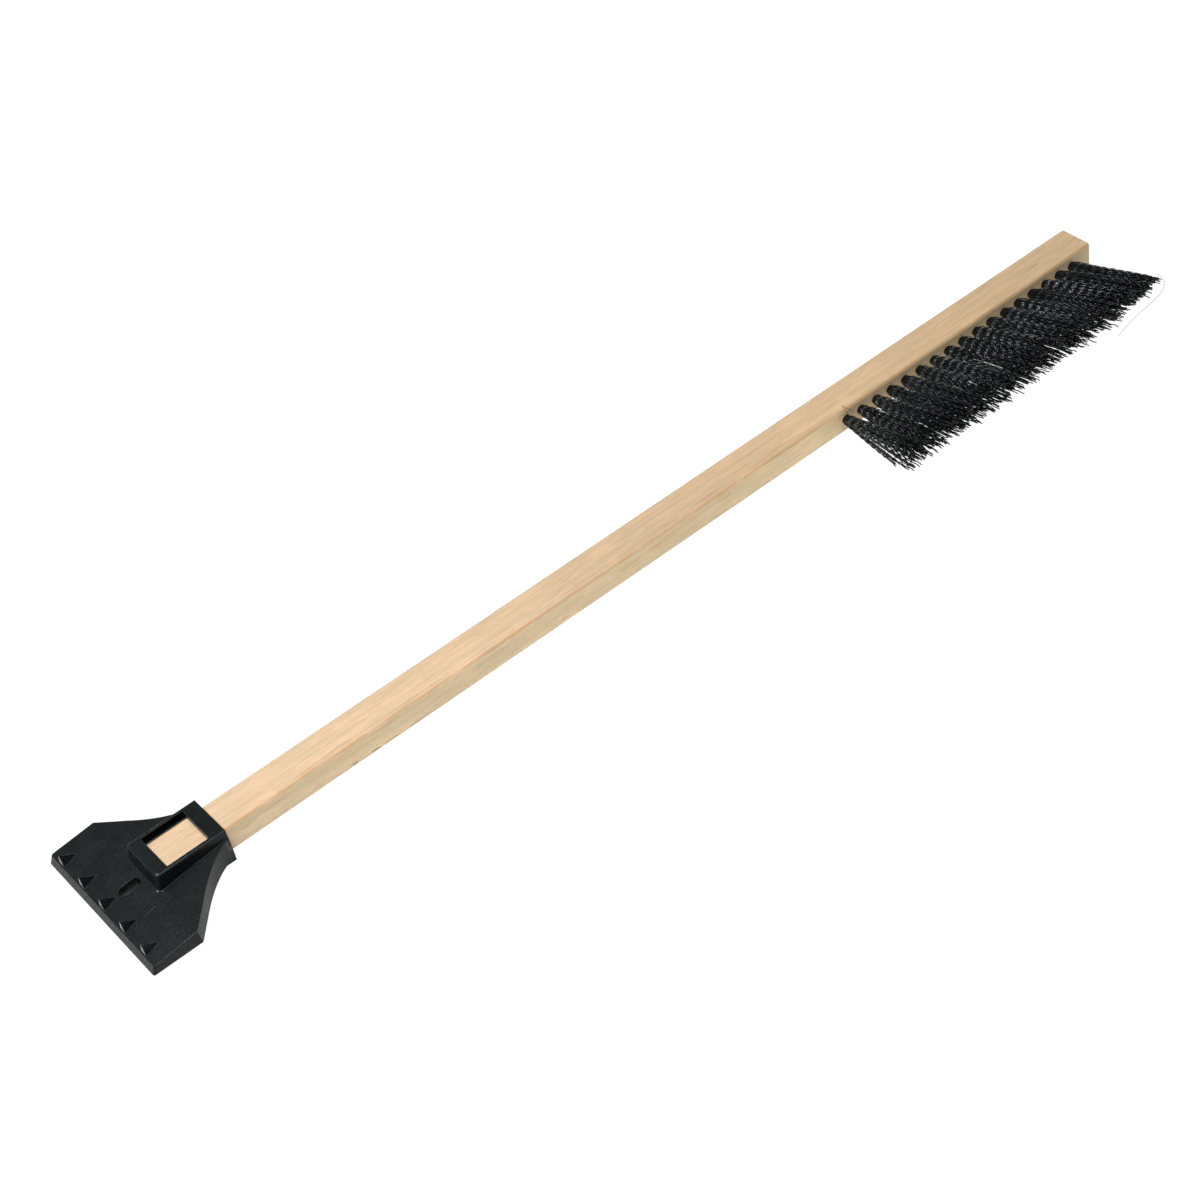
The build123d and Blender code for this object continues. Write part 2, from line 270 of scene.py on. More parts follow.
def wood_material():
    t = Tree("pale_wood")
    x, y, z = t.split(t.place)
    layers = growth_layers(t)
    # noises are drawn out along the stick: fibres, finer fibres and broad streaks
    fibre = t.noise((14, 900, 900), detail=4.0, rough=0.62)
    fine = t.noise((46, 2600, 2600), detail=3.0, rough=0.6)
    streak = t.noise((5.0, 210, 210), detail=3.0, rough=0.55)
    # short flecks along the grain, in some places only
    fleck = t.cells((260, 2100, 2100))
    fleck_pick = t.noise((60, 260, 260))
    fleck = t.mul(t.fall(fleck, over=(0.14, 0.36)), t.ease(fleck_pick, over=(0.46, 0.60)))
    # thin separate lines, some millimetres to some centimetres long
    thread = t.noise((34, 1500, 1500), shift=(0.7, 0.3, 0.1))
    thread = t.mul(t.ease(thread, over=(0.56, 0.68)),
                   t.ease(streak, over=(0.30, 0.62), to=(0.25, 1)))
    blotch = t.noise((7, 38, 38), shift=(1.7, 0, 0))

    pale = (0.640, 0.474, 0.316)
    warm = (0.580, 0.414, 0.266)
    line = (0.470, 0.312, 0.192)
    grey = (0.545, 0.412, 0.272)
    col = t.mix(pale, warm, t.ease(streak, over=(0.32, 0.70)))
    col = t.mix(col, line, layers, strength=0.42)
    col = t.mix(col, grey, t.ease(blotch, over=(0.45, 0.75), to=(0, 0.45)))
    col = t.mix(col, line, t.ease(fibre, over=(0.32, 0.70), to=(0, 0.54)))
    col = t.mix(col, (0.390, 0.240, 0.145), thread, strength=0.70)
    col = t.mix(col, line, t.ease(fine, over=(0.50, 0.74), to=(0, 0.46)))
    col = t.mix(col, (0.36, 0.21, 0.115), fleck, strength=0.62)

    # soft uneven patches, one set greenish and one pinkish
    patch = t.noise((55, 260, 260), detail=3.0, rough=0.6, shift=(0.2, 0.5, 0.9))
    col = t.mix(col, (0.500, 0.388, 0.250), t.ease(patch, over=(0.44, 0.64), to=(0, 0.72)))
    patch = t.noise((40, 180, 180), detail=3.0, rough=0.6, shift=(2.2, 1.5, 0.4))
    col = t.mix(col, (0.665, 0.455, 0.290), t.ease(patch, over=(0.48, 0.68), to=(0, 0.55)))
    # painted shade: a slow drift of tone along the stick, darker and yellower towards +X where the
    # light falls off, a little uneven
    far_end_painted_shade = t.mul(t.ease(x, over=(0.10, 0.60)),
                  t.ease(t.noise((6, 20, 20)), over=(0.2, 0.8), to=(0.7, 1)))
    col = t.mix(col, t.tint(col, (0.94, 0.925, 0.845)), far_end_painted_shade)

    # faces turned along X show end grain
    along_normal = t.size(t.split(t.geometry("Normal"))[0])
    col = t.mix(col, end_grain(t), t.ease(along_normal, over=(0.80, 0.95)))

    # handling: long edges slightly darker and smoother
    edge = t.edge(t.bevel(radius=0.0016, samples=4), t.geometry("True Normal"))
    wear = t.noise((35, 200, 200), detail=3.0, rough=0.6)
    corner = t.mul(t.ease(t.size(y), over=(0.0094, 0.0108)),
                   t.ease(t.size(z), over=(0.0065, 0.0079)),
                   t.ease(wear, over=(0.3, 0.7), to=(0.35, 1)))
    col = t.mix(col, (0.430, 0.285, 0.170), corner, strength=0.20)
    # painted light and shade: both sides are tinted cooler, and the top and the sides are
    # lightened and darkened along X, each in its own way
    normal_y = t.split(t.geometry("Normal"))[1]
    toward = t.mul(normal_y, -1.0)      # 1 on faces turned to -Y
    upper = (0.0, 0.002)                # heights over which masks of the top edges set in
    arris = t.mul(t.ease(toward, over=(0.30, 0.62)), t.fall(toward, over=(0.88, 0.985)),
                  t.ease(z, over=upper), t.ease(wear, over=(0.32, 0.58), to=(0.35, 1)))
    side = t.greatest(t.ease(toward, over=(0.86, 0.98)),
                      t.mul(t.ease(normal_y, over=(0.25, 0.8)), 0.8))
    col = t.mix(col, t.tint(col, (0.965, 1.025, 0.985)), side)
    top_painted_light = t.add(t.ease(x, over=(0.17, 0.26), to=(1, 0.94)),
                     t.ease(x, over=(0.30, 0.42), to=(0, 0.10)))
    side_painted_light = t.add(t.ease(x, over=(0.14, 0.24), to=(0.93, 1)),
                      t.ease(x, over=(0.33, 0.41), to=(0, 0.19)))
    col = t.tint(col, t.mix(top_painted_light, side_painted_light, side))
    # the -Y top edge is darker and redder
    col = t.mix(col, (0.420, 0.248, 0.122), arris, strength=0.78)
    # painted shade on the -Y side around the row of tufts, a little uneven
    tuft_row_painted_shade = t.mul(t.ease(x, over=(0.415, 0.432)), t.ease(y, over=(-0.0107, -0.0111)),
                  t.ease(wear, over=(0.2, 0.8), to=(0.10, 0.30)))
    col = t.mix(col, (0.36, 0.26, 0.17), tuft_row_painted_shade)

    lines = grain_lines(t, x, y, z)
    col = t.mix(col, (0.400, 0.238, 0.130), lines)
    col = t.mix(col, (0.135, 0.098, 0.055), wood_marks(t, x, y, z, fibre))
    # painted shade: the +Y top edge is greyer
    far_edge_painted_shade = t.mul(t.ease(normal_y, over=(0.22, 0.42)), t.ease(z, over=upper))
    col = t.mix(col, (0.420, 0.375, 0.290), far_edge_painted_shade, strength=0.50)

    # fibres stand up; flecks and lines are sunk
    height = t.sub(t.add(t.mul(fine, 0.5), t.mul(fibre, 0.8)), t.mul(fleck, 0.6),
                   t.mul(lines, 0.7))
    rough = t.sub(t.add(0.50, t.mul(fibre, 0.16)), t.mul(edge, 0.12))
    return t.done(t.principled(
        Base_Color=col, Roughness=rough, Normal=t.bump(height, strength=0.30, distance=0.00012),
        IOR=1.45, Specular_IOR_Level=0.36, Sheen_Weight=0.06, Sheen_Roughness=0.5))


# ------------------------------------------------------------------ plastic
# painted glints at the collar's corners: x, y, z, radius, grey
PAINTED_GLINTS = [(-0.0428, -0.0137, 0.0016, 0.00055, 0.30), (-0.0409, -0.0158, 0.0018, 0.00050, 0.075),
         (-0.0397, -0.0131, 0.0115, 0.00050, 0.22)]
# scuffs on the blade's top: start x, y, end x, y, half width, scale of the breaks
SCUFFS = [(-0.0566, -0.0209, -0.0486, -0.0206, 0.00020, 700),
          (-0.0351, 0.0270, -0.0334, 0.0282, 0.00045, 1200),
          (-0.0325, 0.0190, -0.0402, 0.0204, 0.00008, 900),
          (-0.0602, -0.0306, -0.0567, -0.0302, 0.00010, 800)]
FAINT = (0.45, 0.4, 0.35)       # strengths of the scuffs after the first


def scuff(t, x, y, z, row):
    """Mask of one straight, broken scuff."""
    start_x, start_y, end_x, end_y, width, breaks = row
    run_x, run_y = end_x - start_x, end_y - start_y
    length = math.hypot(run_x, run_y)
    unit_x, unit_y = run_x / length, run_y / length
    from_x, from_y = t.sub(x, start_x), t.sub(y, start_y)
    along = t.add(t.mul(from_x, unit_x), t.mul(from_y, unit_y))
    across = t.size(t.sub(t.mul(from_x, unit_y), t.mul(from_y, unit_x)))
    return t.mul(t.fall(across, over=(width * 0.3, width)),
                 t.ease(along, over=(-0.0006, 0.0008)),
                 t.fall(along, over=(length - 0.0008, length + 0.0006)),
                 t.ease(z, over=(-0.0035, -0.0025)),
                 t.ease(t.noise(breaks), over=(0.35, 0.6), to=(0.25, 1)))


def plastic_material():
    t = Tree("moulded_black_plastic")
    x, y, z = t.split(t.place)
    fine = t.noise(3400, rough=0.6)
    mid = t.noise(900, detail=3.0, rough=0.6)
    cloud = t.noise(48, detail=4.0, rough=0.6, distortion=0.6)
    flow = t.noise((30, 130, 130), shift=(0.3, 0, 0), distortion=1.0)
    col = t.mix((0.0058, 0.0070, 0.0074), (0.0086, 0.0102, 0.0106),
                t.ease(cloud, over=(0.3, 0.75)))
    col = t.mix(col, (0.030, 0.034, 0.034), t.ease(mid, over=(0.58, 0.80), to=(0, 0.45)))
    grain = t.noise(1500, rough=0.65, shift=(0.4, 0.1, 0.6))
    col = t.tint(col, t.ease(grain, over=(0.32, 0.68), to=(0.42, 1.58)))
    # rounded edges and the painted highlight lines on them
    bevel = t.bevel(radius=0.00035, samples=6)
    true_normal = t.geometry("True Normal")
    painted_edge_highlight = t.mul(t.ease(t.edge(bevel, true_normal), over=(0.02, 0.22)),
                t.ease(mid, over=(0.35, 0.65), to=(0.35, 1)))
    col = t.mix(col, (0.125, 0.135, 0.132), painted_edge_highlight, strength=0.75)

    first, *others = [scuff(t, x, y, z, row) for row in SCUFFS]
    second, third, fourth = [t.mul(mask, faint) for mask, faint in zip(others, FAINT)]
    scuffs = t.greatest(t.greatest(first, second), t.greatest(third, fourth))
    col = t.mix(col, (0.075, 0.08, 0.08), scuffs, strength=0.6)
    # painted highlights: small pale spots where the collar's corners catch the light
    for *centre, radius, grey in PAINTED_GLINTS:
        away = t.vector("DISTANCE", t.place, centre)
        col = t.mix(col, (grey, grey * 1.04, grey * 1.04),
                    t.fall(away, over=(radius * 0.35, radius)))

    height = t.sub(t.add(t.mul(fine, 0.6), t.mul(mid, 1.0), t.mul(flow, 2.0)),
                   t.mul(scuffs, 1.5))
    normal = t.bump(height, strength=0.75, distance=0.00009, normal=bevel)
    rough = t.sub(t.add(0.25, t.mul(cloud, 0.10)), t.mul(painted_edge_highlight, 0.12))
    # the upright fronts of the teeth, facing -X, are polished
    tooth_front_highlight = t.mul(t.ease(t.split(true_normal)[0], over=(-0.93, -0.97)),
                  t.ease(z, over=(-0.0014, -0.0010)), t.ease(x, over=(-0.0660, -0.0665)))
    rough = t.mix(rough, 0.11, tooth_front_highlight)
    # upright walls, low down or far out along Y, are duller
    upright = t.fall(t.size(t.split(true_normal)[2]), over=(0.45, 0.70))
    wall = t.mul(upright, t.greatest(t.fall(z, over=(-0.0010, 0.0002)),
                                     t.ease(t.size(y), over=(0.0164, 0.0168))))
    # a raised strip facing -Y, given painted shade
    cheek_painted_shade = t.mul(t.ease(t.split(true_normal)[1], over=(-0.80, -0.92)),
                  t.ease(z, over=(0.0010, 0.0016)),
                  t.mul(t.ease(y, over=(-0.0164, -0.0162)), t.fall(y, over=(-0.0135, -0.0132))))
    # painted shadow: the window's +Y wall and ledge are made near black
    window_painted_shadow = t.mul(t.ease(y, over=(0.0108, 0.0110)), t.fall(y, over=(0.0127, 0.0130)),
                t.mul(t.ease(x, over=(-0.0340, -0.0336)), t.fall(z, over=(0.0112, 0.0116))),
                t.mul(t.fall(x, over=(-0.0083, -0.0080)), t.ease(z, over=(0.0, 0.002))))
    # painted highlight: the teeth fronts are paler, standing in for the bright streak of light
    # they reflect
    col = t.mix(col, (0.085, 0.092, 0.090), tooth_front_highlight)
    col = t.mix(col, (0.0030, 0.0034, 0.0036), cheek_painted_shade, strength=0.6)
    col = t.mix(col, (0.0012, 0.0012, 0.0012), window_painted_shadow)
    specular = t.mix(0.30, 0.12, wall)
    specular = t.mix(specular, 0.12, cheek_painted_shade)
    specular = t.mix(specular, 0.03, window_painted_shadow)
    rough = t.mix(rough, 0.42, wall, strength=0.7)
    return t.done(t.principled(
        Base_Color=col, Roughness=rough, Normal=normal, IOR=1.49,
        Specular_IOR_Level=t.mix(specular, 1.0, tooth_front_highlight), Specular_Tint=(0.91, 1.0, 0.965)))


# ------------------------------------------------------------------ bristle
def bristle_material():
    t = Tree("black_filament")
    strand = t.node("Attribute", attribute_name="strand").outputs["Fac"]
    along = t.node("Attribute", attribute_name="along").outputs["Fac"]
    spot = t.noise(900, detail=3.0, rough=0.6)
    dust = t.noise(2600, rough=0.6)
    col = t.mix((0.0014, 0.0017, 0.0020), (0.0038, 0.0044, 0.0048), strand)
    col = t.mix(col, (0.018, 0.019, 0.020), t.ease(spot, over=(0.55, 0.80), to=(0, 0.5)))
    col = t.mix(col, (0.07, 0.07, 0.07), t.ease(dust, over=(0.66, 0.80)), strength=0.30)
    # the cut ends are duller and paler
    col = t.mix(col, (0.020, 0.021, 0.022), t.ease(along, over=(0.985, 1.0), to=(0, 0.6)))
    return t.done(t.principled(
        Base_Color=col, Roughness=t.add(0.19, t.mul(spot, 0.10), t.mul(strand, 0.05)),
        Normal=t.bump(t.add(spot, dust), strength=0.22, distance=0.00005), IOR=1.49,
        Specular_IOR_Level=t.ease(along, over=(0.55, 0.95), to=(0.72, 0.22)),
        Specular_Tint=(0.90, 0.97, 0.97)))


# ------------------------------------------------------------------ steel
def steel_material(name, colour, drawn):
    """Drawn wire; `drawn` is the noise scale of its drawing lines."""
    t = Tree(name)
    line = t.noise(drawn, detail=3.0, rough=0.6)
    tarnish = t.noise(700, detail=3.0, rough=0.6)
    col = t.mix([c * 0.82 for c in colour], colour, t.ease(line, over=(0.3, 0.7)))
    col = t.mix(col, (0.22, 0.17, 0.13), t.ease(tarnish, over=(0.55, 0.8), to=(0, 0.5)))
    bevel = t.bevel(radius=0.0002, samples=4)
    return t.done(t.principled(
        Base_Color=col, Roughness=t.add(0.22, t.mul(line, 0.22)), Metallic=1.0,
        Normal=t.bump(line, strength=0.3, distance=0.00004, normal=bevel)))


# ------------------------------------------------------------------ tufts, mm
TUFTS = 17
LAST = TUFTS - 1
FIRST_X, PITCH, ROW_Z, SIDE_Y = 428.6, 11.69, 0.8, -11.1
STRANDS = 38            # each folded in two, so twice as many ends
LENGTH = 51.5
RADIUS = 0.32
WAVE = 5.1              # crimp wavelength
CRIMP = 0.33            # crimp amplitude
SIDES = 5
MOUTH_R = 2.35
FOLD_DEPTH = 11.8       # from the side down to where a strand folds
HOLE_DEPTHS = (FOLD_DEPTH, 9.0, 5.0, 1.6)       # points of a leg inside the hole
LEG_STEPS = 54          # points of a leg outside the hole
FAN_X, FAN_Z = 9.3, 10.0    # half spread of the tips
LOWEST_Z = -9.15
LOCKS = 22              # small locks the tips gather in
LOCK_X, LOCK_Z = 9.4, 10.0  # half spread of the locks
GOLDEN = 2.399963       # golden angle, for even scatters in a disc


def smooth(start, end, value):
    share = np.clip((value - start) / (end - start), 0, 1)
    return share * share * (3 - 2 * share)


def lean_of(tuft):
    """Lean towards +X, per mm of length."""
    share = tuft / LAST
    return 0.06 + 0.44 * share - 0.17 * share * share


class Hairs:
    """Closed tubes gathered into one mesh."""

    def __init__(self):
        self.points, self.quads, self.caps = [], [], []
        self.values = {"strand": [], "along": []}
        self.count = 0

    def tube(self, path, radius, turn, strand, along):
        """Adds a tube; strand and along have one value for each path point."""
        n = len(path)
        tangent = np.gradient(path, axis=0)
        tangent /= np.linalg.norm(tangent, axis=1)[:, None] + 1e-12
        ref = np.array([0.12, 0.0, 1.0])
        ref /= np.linalg.norm(ref)
        side = ref - (tangent @ ref)[:, None] * tangent
        side /= np.linalg.norm(side, axis=1)[:, None] + 1e-12
        other = np.cross(tangent, side)
        angle = np.arange(SIDES) * 2 * math.pi / SIDES + turn * 6.0
        ring = path[:, None, :] + radius * (np.cos(angle)[None, :, None] * side[:, None, :]
                                            + np.sin(angle)[None, :, None] * other[:, None, :])
        self.points.append(ring.reshape(-1, 3))
        i = np.arange(n - 1)[:, None] * SIDES
        j = np.arange(SIDES)[None, :]
        j2 = (j + 1) % SIDES
        quads = np.stack([i + j, i + SIDES + j, i + SIDES + j2, i + j2], -1)
        self.quads.append(quads.reshape(-1, 4) + self.count)
        self.caps.append(self.count + np.arange(SIDES))
        self.caps.append(self.count + (n - 1) * SIDES + np.arange(SIDES)[::-1])
        self.values["strand"].append(np.repeat(strand, SIDES))
        self.values["along"].append(np.repeat(along, SIDES))
        self.count += n * SIDES

    def loose(self, points, radius, strand):
        """Adds a loose hair along a smooth curve through the given points."""
        points = np.array(points, float)
        n = len(points)
        t = np.linspace(0, n - 1, (n - 1) * 9 + 1)
        i = np.clip(t.astype(int), 0, n - 2)
        f = (t - i)[:, None]
        p0, p1 = points[np.clip(i - 1, 0, n - 1)], points[i]
        p2, p3 = points[i + 1], points[np.clip(i + 2, 0, n - 1)]
        path = 0.5 * ((2 * p1) + (-p0 + p2) * f + (2 * p0 - 5 * p1 + 4 * p2 - p3) * f ** 2
                      + (-p0 + 3 * p1 - 3 * p2 + p3) * f ** 3)
        self.tube(path, radius, turn=strand, strand=np.full(len(path), strand),
                  along=np.full(len(path), 0.5))

    def build(self, name):
        points = np.concatenate(self.points) * MM
        quads = np.concatenate(self.quads)
        caps = np.array(self.caps)
        n_quads, n_caps = len(quads), len(caps)
        mesh = bpy.data.meshes.new(name)
        mesh.vertices.add(len(points))
        mesh.vertices.foreach_set("co", points.astype(np.float32).ravel())
        loops = np.concatenate([quads.ravel(), caps.ravel()]).astype(np.int32)
        mesh.loops.add(len(loops))
        mesh.loops.foreach_set("vertex_index", loops)
        mesh.polygons.add(n_quads + n_caps)
        starts = np.concatenate([np.arange(n_quads) * 4, n_quads * 4 + np.arange(n_caps) * SIDES])
        mesh.polygons.foreach_set("loop_start", starts.astype(np.int32))
        mesh.update(calc_edges=True)
        # only the cut ends are flat
        sharp = np.arange(n_quads + n_caps) >= n_quads
        mesh.attributes.new("sharp_face", "BOOLEAN", "FACE").data.foreach_set("value", sharp)
        for key, values in self.values.items():
            attribute = mesh.attributes.new(key, "FLOAT", "POINT")
            attribute.data.foreach_set("value", np.concatenate(values).astype(np.float32))
        mesh.validate()
        ob = bpy.data.objects.new(name, mesh)
        bpy.context.scene.collection.objects.link(ob)
        return ob


def tip_of(rng, tuft, share_x, share_z, locks):
    """Where a leg's tip fans out to in x and z, and the leg's trimmed length."""
    fan_x = share_x * FAN_X + rng.normal(0, 0.95)
    fan_z = share_z * FAN_Z + rng.normal(0, 0.95)
    # the tufts in the middle of the row are a little shorter
    middle = float(smooth(6, 9, tuft) * (1 - smooth(14, 16, tuft)))
    length = LENGTH - 1.5 * middle + rng.normal(0, 0.45)
    # a few legs are long, and a few stray
    if rng.random() < 0.05:
        length += rng.uniform(0.8, 3.0)
    if rng.random() < 0.04:
        fan_x += rng.normal(0, 3.0)
        fan_z += rng.normal(0, 1.8)
    if tuft == LAST:
        # the last tuft is held in at +X and along a slanting line above
        fan_x = 0.30 * fan_x if fan_x > 0 else fan_x
        over = 0.80 * fan_x + 1.39 * fan_z - 9.0 + abs(rng.normal(0, 0.9))
        if over > 0:
            fan_x -= over * 0.311
            fan_z -= over * 0.540
    if tuft >= TUFTS - 4:
        # the corner of the brush is worn back
        back = 3.2 - 3.6 * (LAST - tuft) + 0.30 * fan_x - 0.93 * fan_z
        length -= min(max(back, 0.0) / 1.5, 6.5) + abs(rng.normal(0, 0.45))
    if tuft == 0:
        # the first tuft's -X side is worn short
        fan_x = max(fan_x, -9.6)
        length -= 4.6 * float(smooth(2.0, 8.5, -fan_x))
    near = locks[np.argmin((locks[:, 0] - fan_x) ** 2 + (locks[:, 1] - fan_z) ** 2)]
    pull = rng.uniform(0.06, 0.38)
    length += near[2]
    fan_x += (near[0] - fan_x) * pull
    fan_z += (near[1] - fan_z) * pull
    return fan_x, max(fan_z, LOWEST_Z - ROW_Z), length


def leg(rng, tuft, start, fold, phase, plane, locks):
    """Points of one leg from its fold out to its tip.

    start and fold are its (x, z) offsets from the hole's axis at the mouth and at the fold.
    """
    start_x, start_z = start
    share_x, share_z = start_x / MOUTH_R, start_z / MOUTH_R
    fan_x, fan_z, length = tip_of(rng, tuft, share_x, share_z, locks)
    hole_x = FIRST_X + tuft * PITCH
    out = np.linspace(0.4, length, LEG_STEPS)
    s = out / length
    bow = s * s * (1 - s) * 4.0
    opens = s ** (1.04 - 0.20 * float(smooth(1.5, 5.0, tuft)))
    bow_x, bow_z = rng.normal(0, 0.7, 2)
    x = (hole_x + start_x + (fan_x - start_x) * opens + lean_of(tuft) * length * s ** 1.04
         + bow_x * bow)
    z = ROW_Z + start_z + (fan_z - start_z) * opens + bow_z * bow
    # legs swell out just past the mouth
    swell = smooth(0.1, 2.6, out) * (1 - s)
    x = x + swell * (0.45 * share_x - 0.45)
    z = z + swell * (0.55 * share_z + 0.45)
    # crimp, stronger in the first tufts and fading to the tip
    wavelength = WAVE * (1 + rng.normal(0, 0.012))
    shift = phase + rng.normal(0, 0.22 if tuft == 0 else 0.36)
    strength = 1.30 if tuft == 0 else 1.12 if tuft < 3 else 1.0
    crimp = (CRIMP * strength * rng.uniform(0.80, 1.15) * smooth(-0.6, 1.6, out)
             * (1 - 0.45 * smooth(0.82, 1.0, s)))
    wave = crimp * np.sin(2 * math.pi * out / wavelength + shift)
    turn = plane + rng.normal(0, 0.35)
    x = x + wave * math.cos(turn)
    z = z + wave * math.sin(turn)
    y = SIDE_Y - out - 0.10 * crimp * np.sin(4 * math.pi * out / wavelength + 2 * shift)
    # the part inside the hole, from the fold to the mouth
    depth = np.array(HOLE_DEPTHS)
    k = depth / FOLD_DEPTH
    hole = np.array([[hole_x, SIDE_Y, ROW_Z]]) + np.stack(
        [k * fold[0] + (1 - k) * start_x * 0.97, depth,
         k * fold[1] + (1 - k) * start_z * 0.97], 1)
    return np.concatenate([hole, np.stack([x, y, z], 1)])


def make_tuft(tuft):
    rng = np.random.default_rng(SEED + tuft * 31)
    ends = STRANDS * 2
    k = np.arange(ends)
    r = MOUTH_R * np.sqrt((k + 0.5) / ends)
    angle = k * GOLDEN + rng.uniform(0, 6.28)
    mouth = np.stack([r * np.cos(angle), r * np.sin(angle)], 1) + rng.normal(0, 0.10, (ends, 2))
    # pair the ends on the -X half with those on the +X half, by height
    order = np.argsort(mouth[:, 0])
    left = sorted(order[:STRANDS], key=lambda end: mouth[end, 1])
    right = sorted(order[STRANDS:], key=lambda end: mouth[end, 1])
    phase = rng.uniform(0, 6.28)
    plane = math.radians(rng.uniform(60, 120) if tuft else 92)
    # locks: x, z, extra length
    k = np.arange(LOCKS)
    r, angle = np.sqrt((k + 0.5) / LOCKS), k * GOLDEN + rng.uniform(0, 6.28)
    locks = np.stack([LOCK_X * r * np.cos(angle), LOCK_Z * r * np.sin(angle)], 1)
    locks = locks + rng.normal(0, 0.8, (LOCKS, 2))
    extra = np.clip(rng.normal(-0.3, 0.75, (LOCKS, 1)), -2.0, 1.2)
    locks = np.concatenate([locks, extra], 1)
    bend = np.linspace(0, math.pi, 7)[1:-1]
    hairs = Hairs()
    for a, b in zip(left, right):
        # the fold passes round the anchor, so its legs keep apart
        ax = -max(0.62, abs(mouth[a, 0]) * 0.9)
        bx = max(0.62, abs(mouth[b, 0]) * 0.9)
        az, bz = mouth[a, 1] * 0.92, mouth[b, 1] * 0.92
        leg_a = leg(rng, tuft, mouth[a], (ax, az), phase, plane, locks)
        leg_b = leg(rng, tuft, mouth[b], (bx, bz), phase, plane, locks)
        deep = 0.32 + 0.18 * max(-ax, bx)
        centre, half = (ax + bx) / 2, (bx - ax) / 2
        fold = np.stack([FIRST_X + tuft * PITCH + centre - half * np.cos(bend),
                         SIDE_Y + FOLD_DEPTH + deep * np.sin(bend),
                         ROW_Z + az + (bz - az) * (bend / math.pi)], 1)
        path = np.concatenate([leg_a[::-1], fold, leg_b])
        n_a = len(leg_a)
        radius = RADIUS * rng.uniform(0.94, 1.05)
        turn = rng.random()
        strand = np.repeat([rng.random(), rng.random()], [n_a, len(path) - n_a])
        along = np.concatenate([np.linspace(1, 0, n_a), np.zeros(len(fold)),
                                np.linspace(0, 1, len(leg_b))])
        hairs.tube(path, radius, turn, strand, along)
    return hairs


# loose hairs: tuft, radius, strand value, points (x, y, z)
LOOSE = [
    # two fine hairs caught at the first hole
    (0, 0.105, 0.9, [(425.4, -12.2, 13.4), (427.0, -12.8, 11.4), (429.1, -13.0, 9.4),
                     (432.6, -13.2, 5.2), (436.3, -13.4, 1.2)]),
    (0, 0.095, 0.8, [(425.8, -12.0, 13.2), (426.4, -12.4, 11.4), (427.2, -12.7, 9.2),
                     (428.4, -12.6, 6.4), (428.9, -11.6, 3.6), (428.8, -10.2, 1.8)]),
    # a long one curling back under the last tips
    (LAST, 0.115, 0.9, [(640.4, -55.9, 2.0), (640.7, -59.1, 0.9), (639.4, -62.7, -0.3),
                        (635.1, -65.1, -1.4), (629.8, -66.3, -2.5), (622.8, -66.7, -3.7),
                        (616.3, -66.6, -4.8), (610.2, -66.6, -5.9), (604.4, -66.9, -7.0),
                        (598.7, -67.4, -8.2), (592.9, -68.4, -9.3)])]

filament = bristle_material()
for i in range(TUFTS):
    hairs = make_tuft(i)
    for owner, radius, strand, points in LOOSE:
        if owner == i:
            hairs.loose(points, radius, strand)
    ob = hairs.build("bristles_%02d" % (i + 1))
    ob.data.materials.append(filament)
    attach(ob, "root")
    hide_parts("bristle_tuft_%02d" % (i + 1))

# ------------------------------------------------------------------ CAD pieces
FINISH = {
    "wooden_handle": (wood_material(), "wood"),
    "scraper_head": (plastic_material(), "head_plastic"),
    "tuft_anchors": (steel_material("anchor_wire", colour=(0.62, 0.62, 0.61),
                                    drawn=(3000, 3000, 300)), "anchor_steel"),
    "head_nails": (steel_material("nail_wire", colour=(0.60, 0.60, 0.61),
                                  drawn=(2600, 2600, 260)), "nail_steel"),
}
for node, (mat, slot) in FINISH.items():
    ob = frame["nodes"][node]
    ob.data.materials.clear()
    ob.data.materials.append(mat)

# ------------------------------------------------------------------ floor
FLOOR_Z = -10.2 * MM - 0.00002
FLOOR_X = 0.28          # centre
FLOOR_HALF = 3.2
FLOOR_POINTS = 12       # along each side


def floor_material():
    t = Tree("pale_floor")
    col = t.mix((0.80, 0.80, 0.80), (0.83, 0.83, 0.83), t.noise(3, detail=3.0))
    x, y, _ = t.split(t.place)
    # painted shadow: the floor is dark under the head
    head_painted_shadow = t.mul(t.fall(t.size(t.add(x, 0.049)), over=(0.013, 0.018)),
                  t.fall(t.size(t.sub(y, 0.005)), over=(0.016, 0.024)))
    col = t.mix(col, (0.05, 0.055, 0.055), head_painted_shadow, strength=0.90)
    glow = t.mul(t.sub(1.0, head_painted_shadow), t.ease(x, over=(0.0, 0.06), to=(0.38, 0.58)))
    lit = t.principled(Base_Color=col, Roughness=0.9, Emission_Color=col,
                       Emission_Strength=glow, Specular_IOR_Level=0.0)
    # the camera sees an even white, with next to no shadow left on it
    seen = t.mul(t.node("LightPath").outputs["Is Camera Ray"], t.sub(1.0, head_painted_shadow))
    flat = t.node("Emission", {"Color": (1.0, 1.0, 1.0), "Strength": 1.04}).outputs[0]
    even = t.node("MixShader", {0: t.mul(seen, 0.90), 1: lit, 2: flat}).outputs[0]
    # clear from below
    clear = t.node("BsdfTransparent").outputs[0]
    back = t.geometry("Backfacing")
    return t.done(t.node("MixShader", {0: back, 1: even, 2: clear}).outputs[0])


def make_floor():
    n = FLOOR_POINTS
    grid = np.linspace(-FLOOR_HALF, FLOOR_HALF, n)
    verts = [(float(x) + FLOOR_X, float(y), FLOOR_Z) for y in grid for x in grid]
    faces = [(j * n + i, j * n + i + 1, (j + 1) * n + i + 1, (j + 1) * n + i)
             for j in range(n - 1) for i in range(n - 1)]
    mesh = bpy.data.meshes.new("floor")
    mesh.from_pydata(verts, [], faces)
    mesh.materials.append(floor_material())
    ob = bpy.data.objects.new("floor", mesh)
    bpy.context.scene.collection.objects.link(ob)


